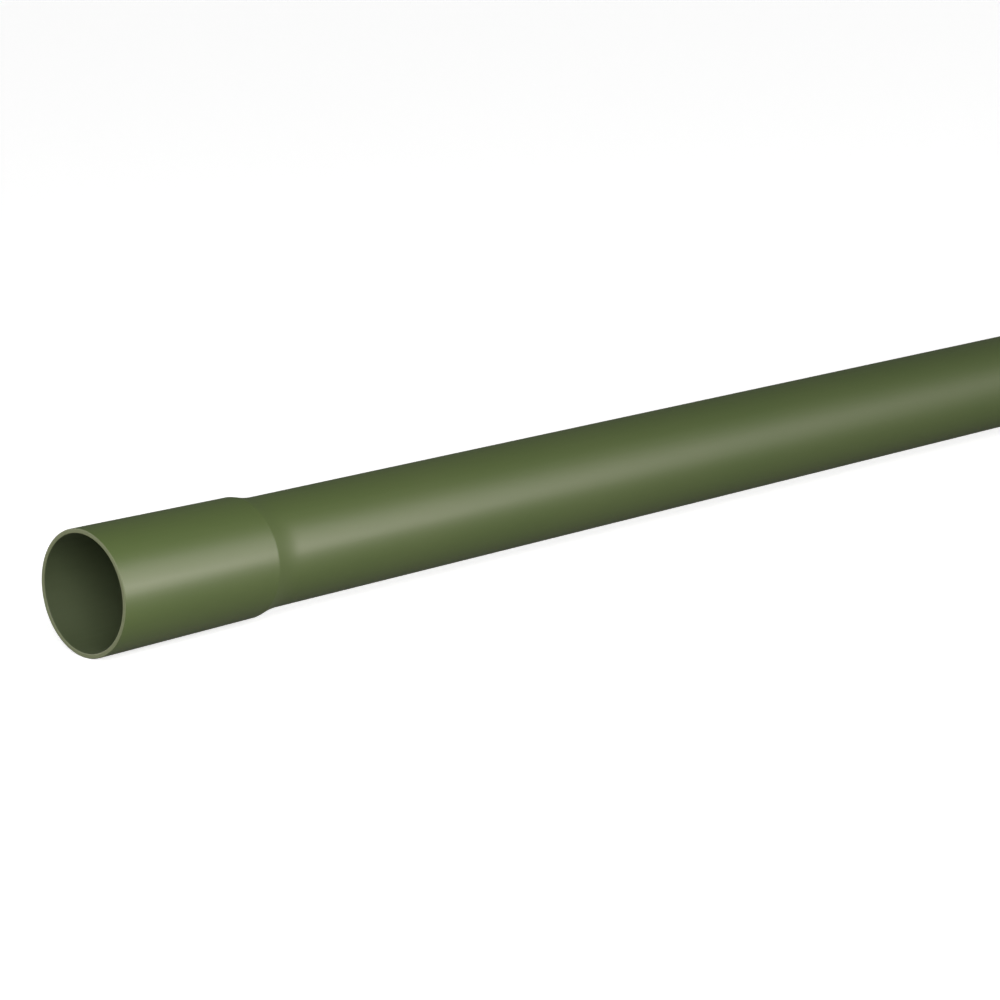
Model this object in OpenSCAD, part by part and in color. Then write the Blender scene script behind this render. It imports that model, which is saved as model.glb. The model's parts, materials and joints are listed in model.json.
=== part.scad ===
// Rigid PVC electrical conduit, one length of thin-wall tube with a socket belled on one end.
// The tube lies level along +X with +Z up. The origin is on its axis at the socket's seat,
// where the straight bore ends and the shoulder begins. The mouth is at -X, the plain end at +X.
// Sizes are in millimetres.

/* [Tube] */
// Overall length, from the socket's mouth to the plain end
conduit_length = 3000; // [300:10:6000]
// Outside diameter of the tube
tube_od = 33.4; // [16:0.1:60.4]
// Wall of the tube
tube_wall = 1.52; // [1:0.02:4]
// Radius that takes the edge off the cut ends, inside and outside
edge_round = 0.3; // [0.1:0.05:0.4]

/* [Socket] */
// Depth of the socket, from the mouth to the seat
socket_depth = 58; // [30:1:150]
// Length of the straight bore next to the seat
seat_length = 23; // [5:1:25]
// Radial clearance round an inserted tube in the straight bore
seat_clearance = 0.2; // [0.05:0.05:0.5]
// Radial clearance round an inserted tube at the mouth, where the bore flares
mouth_clearance = 0.6; // [0.5:0.05:1.5]
// Length of the shoulder between the socket and the tube
shoulder_length = 10; // [5:0.1:20]

/* [Belling] */
// How much the belling thins the tube's wall at the mouth
mouth_thinning = 0.12; // [0:0.01:0.2]
// How much the belling thins the tube's wall at the seat
seat_thinning = 0.27; // [0:0.01:0.4]

/* [Hidden] */

conduit_colour = "#485a32";
round_steps = 4;
shoulder_steps = 12;
shoulder_skew = 1.67;

tube_or = tube_od / 2;
tube_ir = tube_or - tube_wall;
seat_ir = tube_or + seat_clearance;
seat_or = seat_ir + tube_wall - seat_thinning;
mouth_ir = tube_or + mouth_clearance;
mouth_or = mouth_ir + tube_wall - mouth_thinning;
mouth_x = -socket_depth;
end_x = conduit_length - socket_depth;

// Points are [radius, distance along the axis].
function round_corner(r, x, from, to) = [
    for (i = [0 : round_steps])
        let (a = from + (to - from) * i / round_steps)
            [r + edge_round * cos(a), x + edge_round * sin(a)]
];

// An S-curve from one radius to the other, level where it leaves each of them. It turns in
// briskly at the seat and runs out slowly into the tube.
function shoulder_curve(r_seat, r_tube) = [
    for (i = [0 : shoulder_steps])
        let (t = i / shoulder_steps, s = (1 - cos(180 * t)) / 2)
            [r_seat + (r_tube - r_seat) * s, shoulder_length * pow(t, shoulder_skew)]
];

function reversed(points) = [for (i = [len(points) - 1 : -1 : 0]) points[i]];

// Up the outside from the mouth to the plain end, then back down the bore.
function wall_section() = concat(
    round_corner(mouth_or - edge_round, mouth_x + edge_round, -90, 0),
    shoulder_curve(seat_or, tube_or),
    round_corner(tube_or - edge_round, end_x - edge_round, 0, 90),
    round_corner(tube_ir + edge_round, end_x - edge_round, 90, 180),
    reversed(shoulder_curve(seat_ir, tube_ir)),
    [[seat_ir, -seat_length]],
    round_corner(mouth_ir + edge_round, mouth_x + edge_round, 180, 270)
);

module conduit() {
    color(conduit_colour)
        rotate([0, 90, 0])
            rotate_extrude($fn = 96)
                polygon(wall_section());
}

conduit();
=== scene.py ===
import json
import math

import bpy
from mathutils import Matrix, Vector

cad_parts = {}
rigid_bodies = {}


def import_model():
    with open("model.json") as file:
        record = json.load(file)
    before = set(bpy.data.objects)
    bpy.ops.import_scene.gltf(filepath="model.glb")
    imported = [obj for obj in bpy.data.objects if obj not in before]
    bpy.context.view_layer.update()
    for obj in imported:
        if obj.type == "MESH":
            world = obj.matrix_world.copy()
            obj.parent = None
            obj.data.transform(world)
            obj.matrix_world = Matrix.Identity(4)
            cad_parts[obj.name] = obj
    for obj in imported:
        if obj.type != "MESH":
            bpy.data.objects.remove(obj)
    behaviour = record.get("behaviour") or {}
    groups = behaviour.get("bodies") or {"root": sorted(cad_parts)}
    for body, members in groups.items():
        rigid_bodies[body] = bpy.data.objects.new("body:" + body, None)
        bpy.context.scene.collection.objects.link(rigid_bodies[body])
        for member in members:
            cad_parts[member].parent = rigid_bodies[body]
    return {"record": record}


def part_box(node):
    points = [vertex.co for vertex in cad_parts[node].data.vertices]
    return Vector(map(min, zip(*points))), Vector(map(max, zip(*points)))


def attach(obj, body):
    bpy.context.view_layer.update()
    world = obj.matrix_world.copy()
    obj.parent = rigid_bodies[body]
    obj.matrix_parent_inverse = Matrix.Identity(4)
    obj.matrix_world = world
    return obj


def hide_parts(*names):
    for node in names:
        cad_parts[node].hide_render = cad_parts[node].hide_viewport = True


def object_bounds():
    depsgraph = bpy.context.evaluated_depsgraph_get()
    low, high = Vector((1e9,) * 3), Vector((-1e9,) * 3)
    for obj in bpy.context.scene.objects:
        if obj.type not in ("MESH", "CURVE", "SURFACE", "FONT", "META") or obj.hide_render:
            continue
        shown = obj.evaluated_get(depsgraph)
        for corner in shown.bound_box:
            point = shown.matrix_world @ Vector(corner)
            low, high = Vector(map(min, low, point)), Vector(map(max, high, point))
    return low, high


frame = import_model()
cadLow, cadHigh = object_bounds()
mounts = {mount["name"]: mount for mount in frame["record"]["mounts"]}
mm = 0.001


def linearColour(hexCode):
    parts = [int(hexCode[i:i + 2], 16) / 255 for i in (1, 3, 5)]
    return [c / 12.92 if c <= 0.04045 else ((c + 0.055) / 1.055) ** 2.4 for c in parts] + [1]


def addNode(tree, kind, inputs=None, **settings):
    node = tree.nodes.new(kind)
    for name, value in settings.items():
        setattr(node, name, value)
    for name, value in (inputs or {}).items():
        if isinstance(value, bpy.types.NodeSocket):
            tree.links.new(value, node.inputs[name])
        else:
            node.inputs[name].default_value = value
    return node


def newMaterial(name):
    material = bpy.data.materials.new(name)
    material.use_nodes = True
    material.node_tree.nodes.clear()
    return material, material.node_tree


def deselectAll():
    for item in bpy.context.view_layer.objects:
        item.select_set(False)


def directionTo(turn, rise):
    turn, rise = math.radians(turn), math.radians(rise)
    level = math.cos(rise)
    return Vector((math.sin(turn) * level, -math.cos(turn) * level, math.sin(rise)))


# Camera: a long lens that looks down the tube's length from the socket's end
camera = {
    "lens": 115.2,
    "azimuth": -46.26,  # degrees round from the front
    "elevation": 12.86,  # degrees above the horizon
    "distance": 1016.7 * mm,
    "aim": (111.2 * mm, 0, -0.9 * mm),
}


def makeCamera():
    deselectAll()
    back = directionTo(camera["azimuth"], camera["elevation"])
    bpy.ops.object.camera_add(location=Vector(camera["aim"]) + back * camera["distance"])
    made = bpy.context.object
    made.rotation_euler = back.to_track_quat("Z", "Y").to_euler()
    made.data.lens = camera["lens"]
    made.data.clip_start = 10 * mm
    bpy.context.scene.camera = made


# The conduit: one turned body, drawn as rings round the axis from the mouth over the outside to
# the plain end and back through the bore
conduit = {
    "sides": 128,
    "mouthWall": 1.4 * mm,
    "seatWall": 1.25 * mm,
    "lipSteps": 6,
    "shoulderSteps": 20,
    "shoulderSkew": 1.67,  # it turns in briskly at the seat and runs out slowly into the tube
    "bandLength": 150 * mm,  # the straight tube is divided about this often
    "weldGap": 0.01 * mm,  # the last ring lies on the first and is joined to it
    "cutFacing": 0.7,  # a face is sawn, and takes the paler colour with its painted highlight, if it looks along the tube by more than this
}


def lipArc(x, radius, rounding, start, end):
    steps = conduit["lipSteps"]
    angles = [math.radians(start + (end - start) * i / steps) for i in range(steps + 1)]
    return [(x + rounding * math.sin(a), radius + rounding * math.cos(a)) for a in angles]


def shoulderCurve(length, seatRadius, tubeRadius):
    steps = conduit["shoulderSteps"]
    skew = conduit["shoulderSkew"]
    shares = [(i / steps, (1 - math.cos(math.pi * i / steps)) / 2) for i in range(steps + 1)]
    return [(length * t ** skew, seatRadius + (tubeRadius - seatRadius) * s) for t, s in shares]


def straightBands(start, end, radius):
    count = max(2, round((end - start) / conduit["bandLength"]))
    return [(start + (end - start) * i / count, radius) for i in range(1, count)]


def conduitRings():
    low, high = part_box("conduit")
    tubeRadius = mounts["spigot"]["dims"]["r_mm"] * mm
    boreRadius = mounts["raceway"]["dims"]["r_mm"] * mm
    seatBore = mounts["socket"]["dims"]["r_mm"] * mm
    seatLength = mounts["socket"]["dims"]["length_mm"] * mm
    tubeEnd = mounts["spigot"]["pos_m"][0]
    shoulderEnd = tubeEnd - mounts["spigot"]["dims"]["length_mm"] * mm
    rounding = high.x - tubeEnd
    mouthRadius = min(high.y, high.z)  # the frame's mesh is many-sided, and this stays inside it
    mouthBore = mouthRadius - conduit["mouthWall"]
    mouthCentre = low.x + rounding
    outside = (
        lipArc(mouthCentre, mouthRadius - rounding, rounding, -90, 0)
        + shoulderCurve(shoulderEnd, seatBore + conduit["seatWall"], tubeRadius)
        + straightBands(shoulderEnd, tubeEnd, tubeRadius)
        + lipArc(tubeEnd, tubeRadius - rounding, rounding, 0, 90)
    )
    inside = (
        lipArc(tubeEnd, boreRadius + rounding, rounding, 90, 180)
        + straightBands(shoulderEnd, tubeEnd, boreRadius)[::-1]
        + shoulderCurve(shoulderEnd, seatBore, boreRadius)[::-1]
        + [(-seatLength, seatBore)]
        + lipArc(mouthCentre, mouthBore + rounding, rounding, 180, 270)
    )
    return outside + inside


def makeConduit():
    rings = conduitRings()
    deselectAll()
    x, radius = rings[0]
    bpy.ops.mesh.primitive_circle_add(
        vertices=conduit["sides"], radius=radius, location=(x, 0, 0), rotation=(0, math.pi / 2, 0)
    )
    made = bpy.context.object
    made.name = "conduitTube"
    bpy.ops.object.transform_apply(location=True, rotation=True, scale=True)
    bpy.ops.object.mode_set(mode="EDIT")
    bpy.ops.mesh.select_mode(type="EDGE")
    bpy.ops.mesh.select_all(action="SELECT")
    for nextX, nextRadius in rings[1:] + rings[:1]:
        growth = nextRadius / radius
        bpy.ops.mesh.extrude_edges_move(TRANSFORM_OT_translate={"value": (nextX - x, 0, 0)})
        bpy.ops.transform.resize(value=(1, growth, growth), center_override=(nextX, 0, 0))
        x, radius = nextX, nextRadius
    bpy.ops.mesh.select_all(action="SELECT")
    bpy.ops.mesh.remove_doubles(threshold=conduit["weldGap"])
    bpy.ops.mesh.normals_make_consistent(inside=False)
    bpy.ops.object.mode_set(mode="OBJECT")
    bpy.ops.object.shade_smooth()
    bpy.ops.object.modifier_add(type="WEIGHTED_NORMAL")
    bpy.ops.object.modifier_apply(modifier=made.modifiers[0].name)
    return made


# The flat of each cut is sawn, with as much of its rounded edges as faces with it; these faces take the
# paler colour, partly a painted highlight, and the inward faces take the bore's painted shade
def paintFaces(piece):
    for face in piece.data.polygons:
        outward = face.normal.y * face.center.y + face.normal.z * face.center.z
        if abs(face.normal.x) > conduit["cutFacing"]:
            face.material_index = 2
        elif outward < 0:
            face.material_index = 1


# The finishes: satin from the die outside; duller in the bore, which cools in still air, and there
# darker and greyer, which is painted shade; and paler where the saw has cut, partly the cut's own tone
# and partly a painted highlight
finish = {
    "body": ("#45582e", "#4c5c35"),
    "bodyRoughness": (0.41, 0.44),
    "bellPolish": 0.02,  # the belling tool leaves the socket a touch smoother
    "polishFade": 10 * mm,  # which fades out along the shoulder
    # painted shade: the bore's colour is darker and greyer than the outside, for the shade inside the
    # tube
    "bore": ("#47543c", "#4d5a40"),
    "boreRoughness": (0.46, 0.54),
    # the sawn colour is partly the cut's own paler tone and partly a painted highlight along the rim
    "cut": ("#687456", "#758161"),
    "cutRoughness": (0.55, 0.65),
    "ior": 1.6,
    "mottle": 45 * mm,
    "dieLine": 1.6 * mm,  # drawn several times coarser than the real lines, so that they hold up
    "dieStretch": 0.006,  # the lines run along the tube and hardly change on the way
    "dieDepth": 0.03 * mm,
    "sawMark": 0.4 * mm,
    "sawStretch": 0.05,
    "sawSlant": 25,  # degrees
    "sawDepth": 0.05 * mm,
    "bumpStrength": 0.35,
    "noiseSpan": (0.3, 0.7),  # the noise seldom leaves this range
}


def blend(tree, factor, colours):
    mixed = addNode(
        tree, "ShaderNodeMix",
        {"Factor": factor, "A": linearColour(colours[0]), "B": linearColour(colours[1])},
        data_type="RGBA",
    )
    return mixed.outputs["Result"]


def spanned(tree, noise, span):
    low, high = finish["noiseSpan"]
    made = addNode(
        tree, "ShaderNodeMapRange",
        {"Value": noise, "From Min": low, "From Max": high, "To Min": span[0], "To Max": span[1]},
    )
    return made.outputs["Result"]


def noiseIn(tree, place, size, detail):
    made = addNode(tree, "ShaderNodeTexNoise", {"Vector": place, "Scale": 1 / size, "Detail": detail})
    return made.outputs["Fac"]


def dieLines(tree, place):
    across = addNode(tree, "ShaderNodeVectorMath", {0: place, 1: (0, 1, 1)}, operation="MULTIPLY")
    ring = addNode(tree, "ShaderNodeVectorMath", {0: across.outputs[0]}, operation="NORMALIZE")
    girth = addNode(
        tree, "ShaderNodeVectorMath",
        {0: ring.outputs[0], "Scale": mounts["spigot"]["dims"]["r_mm"] * mm}, operation="SCALE",
    )
    drawn = addNode(
        tree, "ShaderNodeVectorMath",
        {0: place, 1: (finish["dieStretch"], 0, 0), 2: girth.outputs[0]}, operation="MULTIPLY_ADD",
    )
    return noiseIn(tree, drawn.outputs[0], finish["dieLine"], 2)


def finishShader(tree, colour, roughness, height, depth):
    relief = addNode(
        tree, "ShaderNodeBump", {"Height": height, "Strength": finish["bumpStrength"], "Distance": depth}
    )
    shader = addNode(
        tree, "ShaderNodeBsdfPrincipled",
        {"Base Color": colour, "Roughness": roughness, "Normal": relief.outputs["Normal"],
         "IOR": finish["ior"]},
    )
    addNode(tree, "ShaderNodeOutputMaterial", {"Surface": shader.outputs["BSDF"]})


def extrudedPvc():
    material, tree = newMaterial("uPVC olive green, extruded")
    place = addNode(tree, "ShaderNodeTexCoord").outputs["Object"]
    lines = dieLines(tree, place)
    colour = blend(tree, noiseIn(tree, place, finish["mottle"], 4), finish["body"])
    along = addNode(tree, "ShaderNodeSeparateXYZ", {"Vector": place}).outputs["X"]
    polish = addNode(
        tree, "ShaderNodeMapRange",
        {"Value": along, "From Min": finish["polishFade"], "From Max": 0,
         "To Min": 0, "To Max": finish["bellPolish"]},
    )
    roughness = addNode(
        tree, "ShaderNodeMath",
        {0: spanned(tree, lines, finish["bodyRoughness"]), 1: polish.outputs["Result"]},
        operation="SUBTRACT",
    )
    finishShader(tree, colour, roughness.outputs[0], lines, finish["dieDepth"])
    return material


# The bore's finish, whose darker and greyer colour is painted shade
def borePvcPaintedShade():
    material, tree = newMaterial("uPVC olive green, bore with painted shade")
    place = addNode(tree, "ShaderNodeTexCoord").outputs["Object"]
    lines = dieLines(tree, place)
    colour = blend(tree, noiseIn(tree, place, finish["mottle"], 4), finish["bore"])
    finishShader(tree, colour, spanned(tree, lines, finish["boreRoughness"]), lines, finish["dieDepth"])
    return material


# The sawn finish, whose paler colour is partly the cut's own tone and partly a painted highlight
def sawnPvcPaintedHighlight():
    material, tree = newMaterial("uPVC olive green, sawn and deburred, with painted highlight")
    place = addNode(tree, "ShaderNodeTexCoord").outputs["Object"]
    drawn = addNode(
        tree, "ShaderNodeMapping",
        {"Vector": place, "Scale": (1, finish["sawStretch"], 1),
         "Rotation": (math.radians(finish["sawSlant"]), 0, 0)},
    )
    marks = noiseIn(tree, drawn.outputs["Vector"], finish["sawMark"], 2)
    colour = blend(tree, marks, finish["cut"])
    finishShader(tree, colour, spanned(tree, marks, finish["cutRoughness"]), marks, finish["sawDepth"])
    return material


# Floor, air and lamps. The floor and the air are dim to the object, and lifted to white where they
# are seen. The lift leaves room for the floor's own paint, so that the conduit's shadow shows on it.
studio = {
    "floorSize": 60,
    "floorCentre": 1.5,
    "floorTones": ("#7c7c7a", "#d9e1e6"),  # as the object meets it, as it is seen
    "floorLift": 0.695,
    "air": 0.05,
    "glossShare": 0.05,  # satin plastic would pick up a white sheen along its edges from more
    "warmth": (1.1, 1.0, 0.94),  # the lamps' red, green and blue
    "sunDistance": 3,
    "suns": {  # degrees round from the front, degrees up, degrees across, strength
        "lowSun": (15, 10, 30, 1.2),
        "highSun": (30, 25, 28, 0.58),
        "backSun": (200, 12, 50, 2.1),
    },
    "lamps": {  # place, what it points at, size, watts
        "nearLamp": ((-0.35, -0.364, 0.265), (0.05, 0, 0), (0.45, 0.45), 3.2),
        "frontLamp": ((0.9, -1.383, 0.219), (0.05, 0, 0), (0.3, 0.45), 5.4),
        "topLamp": ((0.7, -1.072, 0.9), (0.05, 0, 0), (0.3, 0.45), 2.5),
        "farStrip": ((2.0, -0.773, 0.207), (2.0, 0, 0), (1.6, 0.25), 0.5),
        "endLamp": ((3.35, -0.05, 0.3), (2.9, 0, 0), (0.35, 0.35), 2.5),
    },
}


def seenShare(tree):
    rays = addNode(tree, "ShaderNodeLightPath")
    straight = addNode(
        tree, "ShaderNodeMath",
        {0: rays.outputs["Is Camera Ray"], 1: rays.outputs["Is Transmission Ray"]}, operation="MAXIMUM",
    )
    share = addNode(
        tree, "ShaderNodeMath",
        {0: rays.outputs["Is Glossy Ray"], 1: studio["glossShare"], 2: straight.outputs[0]},
        operation="MULTIPLY_ADD", use_clamp=True,
    )
    return share.outputs[0]


def makeFloor():
    deselectAll()
    centre = (studio["floorCentre"], 0, cadLow.z)
    bpy.ops.mesh.primitive_plane_add(size=studio["floorSize"], location=centre)
    floor = bpy.context.object
    floor.name = "studioFloor"
    material, tree = newMaterial("studio floor, matt white")
    seen = seenShare(tree)
    paint = addNode(tree, "ShaderNodeBsdfDiffuse", {"Color": blend(tree, seen, studio["floorTones"])})
    lift = addNode(tree, "ShaderNodeMath", {0: seen, 1: studio["floorLift"]}, operation="MULTIPLY")
    bright = addNode(tree, "ShaderNodeEmission", {"Strength": lift.outputs[0]})
    both = addNode(
        tree, "ShaderNodeAddShader", {0: paint.outputs["BSDF"], 1: bright.outputs["Emission"]}
    )
    addNode(tree, "ShaderNodeOutputMaterial", {"Surface": both.outputs["Shader"]})
    floor.data.materials.append(material)


def makeWorld():
    world = bpy.data.worlds.new("studio air")
    bpy.context.scene.world = world
    world.use_nodes = True
    tree = world.node_tree
    tree.nodes.clear()
    strength = addNode(
        tree, "ShaderNodeMapRange", {"Value": seenShare(tree), "To Min": studio["air"], "To Max": 1.0}
    )
    air = addNode(
        tree, "ShaderNodeBackground",
        {"Color": (1, 1, 1, 1), "Strength": strength.outputs["Result"]},
    )
    addNode(tree, "ShaderNodeOutputWorld", {"Surface": air.outputs["Background"]})


def makeSun(name, turn, rise, spread, power):
    deselectAll()
    towards = directionTo(turn, rise)
    bpy.ops.object.light_add(type="SUN", location=towards * studio["sunDistance"])
    sun = bpy.context.object
    sun.name = name
    sun.data.energy = power
    sun.data.angle = math.radians(spread)
    sun.data.color = studio["warmth"]
    sun.rotation_euler = towards.to_track_quat("Z", "Y").to_euler()


def makeLamp(name, place, aim, size, power):
    deselectAll()
    bpy.ops.object.light_add(type="AREA", location=place)
    lamp = bpy.context.object
    lamp.name = name
    lamp.data.shape = "RECTANGLE"
    lamp.data.size, lamp.data.size_y = size
    lamp.data.energy = power
    lamp.data.color = studio["warmth"]
    lamp.rotation_euler = (Vector(place) - Vector(aim)).to_track_quat("Z", "Y").to_euler()
    lamp.visible_camera = False


makeCamera()
print("camera placed")

tube = makeConduit()
paintFaces(tube)
for material in (extrudedPvc(), borePvcPaintedShade(), sawnPvcPaintedHighlight()):
    tube.data.materials.append(material)
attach(tube, "root")
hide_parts("conduit")
print("conduit made,", len(tube.data.polygons), "faces")

makeFloor()
makeWorld()
for name, settings in studio["suns"].items():
    makeSun(name, *settings)
for name, settings in studio["lamps"].items():
    makeLamp(name, *settings)
bpy.context.scene.view_settings.view_transform = "Standard"
print("floor and lamps placed")
